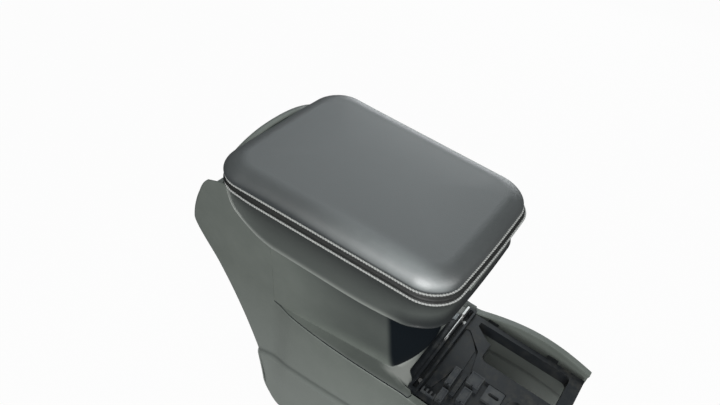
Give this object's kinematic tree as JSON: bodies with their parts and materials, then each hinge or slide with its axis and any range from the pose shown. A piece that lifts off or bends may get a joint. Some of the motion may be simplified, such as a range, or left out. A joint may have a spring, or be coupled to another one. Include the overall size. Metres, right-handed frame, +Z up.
{
  "type": "armrest console",
  "caption": "Car centre armrest with a stitched leather lid hinged at the rear over a storage bin, on the moulded rear part of a floor console.",
  "frame": {"origin": "At floor level under the middle of the console, at the bottom centre of the bounding box.", "axes": "+X towards the front of the car, +Y to the left, +Z up."},
  "size_m": [0.579, 0.2496, 0.4732],
  "materials": {
    "leather_grey": "smooth grained",
    "leather_dark": "stitched",
    "foam": "open cell",
    "plastic_grey": "fine grained",
    "plastic_black": "moulded",
    "rubber_black": "matt",
    "steel": "plated"
  },
  "bodies": {
    "console": {"side_panel_right": "plastic_grey", "side_panel_left": "plastic_grey", "rear_panel": "plastic_grey", "rear_lower_trim": "plastic_grey", "upper_surround": "plastic_grey", "storage_bin": "plastic_black", "bin_mat": "rubber_black", "hinge_bracket": "steel", "hinge_pin": "steel", "torsion_spring": "steel", "bracket_screws": "steel", "striker": "steel", "lid_bumpers": "rubber_black", "front_carrier": "plastic_black", "cross_rail": "plastic_black", "spring_strip": "steel", "ledge_clip": "plastic_grey", "socket_blocks": "plastic_black", "slotted_plate": "plastic_black", "side_comb": "plastic_black", "rail_screws": "steel", "floor_bracket_front": "steel", "floor_bracket_rear": "steel"},
    "lid": {"lid_cushion": "leather_grey", "foam_pad": "foam", "seam_band": "leather_dark", "lid_skirt": "leather_grey", "lid_core": "plastic_black", "lid_liner": "plastic_black", "hinge_arms": "steel", "hinge_cover": "plastic_grey", "arm_screws": "steel", "latch_bracket": "steel", "latch_pin": "steel", "latch_spring": "steel"},
    "latch": {"latch_handle": "plastic_grey", "latch_hook": "steel"}
  },
  "joints": [
    {"name": "lid_hinge", "type": "hinge", "parent": "console", "child": "lid", "pos_m": [-0.1835, 0, 0.42], "axis": [0, -1, 0], "range_deg": [0, 55]},
    {"name": "latch_pivot", "type": "hinge", "parent": "lid", "child": "latch", "pos_m": [0.1105, 0, 0.4285], "axis": [0, -1, 0], "range_deg": [0, 10], "stiffness_Nm_per_rad": 0.05, "springref_deg": -9.74}
  ]
}
